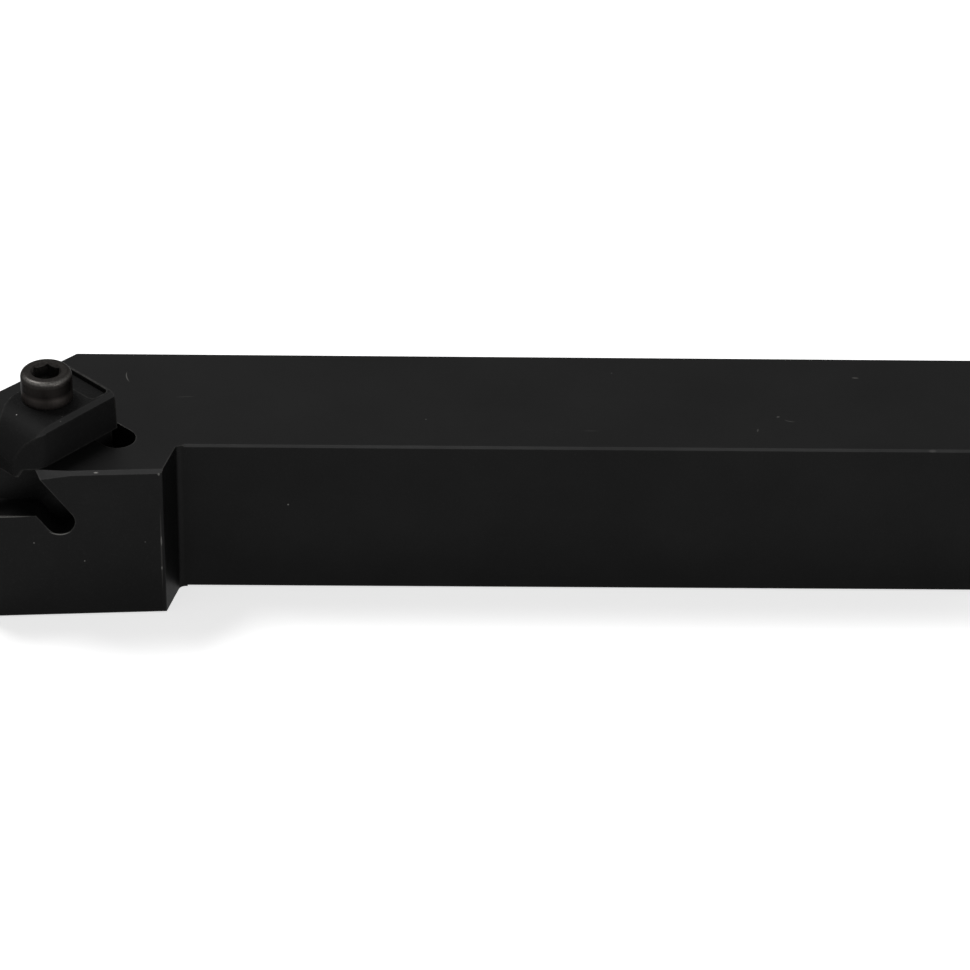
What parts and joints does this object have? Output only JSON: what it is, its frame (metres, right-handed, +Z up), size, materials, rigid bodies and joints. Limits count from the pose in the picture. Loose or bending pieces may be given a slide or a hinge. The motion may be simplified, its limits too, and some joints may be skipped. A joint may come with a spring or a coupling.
{
  "type": "indexable threading toolholder",
  "caption": "Square-shank external threading toolholder with a side insert pocket, a finger clamp turned across the corner, and its socket head screw.",
  "frame": {"origin": "on the base face, under the shank's centre line, at the root of the shoulder", "axes": "X along the shank away from the head, Y across it towards the back face, Z up to the top face"},
  "size_m": [0.1143, 0.0254, 0.0272],
  "materials": {
    "black_oxide_steel": "black oxide over a fine ground surface, satin",
    "clamp_steel": "black oxide over a cast and ground surface, matt",
    "screw_steel": "turned alloy steel with a bright rim"
  },
  "bodies": {
    "holder": {"toolholder_body": "black_oxide_steel"},
    "finger_clamp": {"clamp": "clamp_steel"},
    "screw": {"clamp_screw": "screw_steel"}
  },
  "joints": [
    {"name": "clamp_lift", "type": "slide", "parent": "holder", "child": "finger_clamp", "axis": [0, 0, 1], "range_m": [0, 0.00238]},
    {"name": "clamp_screw_turn", "type": "hinge", "parent": "finger_clamp", "child": "screw", "pos_m": [-0.01415, -0.00726, 0.0238], "axis": [0, 0, 1], "range_deg": [0, 1080]}
  ],
  "couplings": [
    {"joint": "clamp_screw_turn", "follows": "clamp_lift", "rad_per_m": 7915.8}
  ]
}
